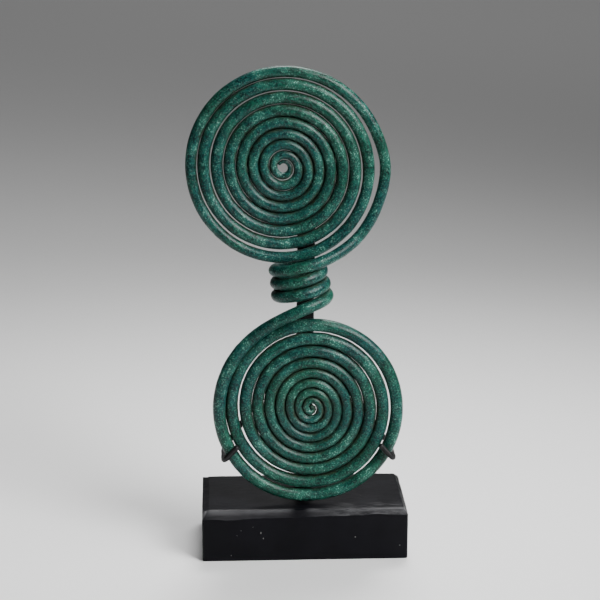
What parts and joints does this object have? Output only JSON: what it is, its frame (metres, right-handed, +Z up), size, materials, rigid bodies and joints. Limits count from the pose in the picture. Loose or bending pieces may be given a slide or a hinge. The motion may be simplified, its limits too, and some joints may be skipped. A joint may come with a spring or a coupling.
{
  "type": "fibula brooch",
  "caption": "Spectacle-shaped fibula of coiled bronze wire, spiral discs joined by a wound neck, held upright by a bent rod cradle and a flat post on a bevelled black block.",
  "frame": {"origin": "middle of the block's underside", "axes": "+Z up along the post; +X to the right and -Y to the front, as the brooch is seen"},
  "size_m": [0.0844, 0.0475, 0.1915],
  "materials": {
    "patinated_bronze": "bronze under a smooth dark green patina, waxed",
    "black_block": "satin black paint, worn at the bevel, with small nicks",
    "black_metal": "satin black"
  },
  "bodies": {
    "root": {"brooch": "patinated_bronze", "stand_block": "black_block", "stand_post": "black_metal", "cradle_rod": "black_metal"}
  },
  "joints": []
}
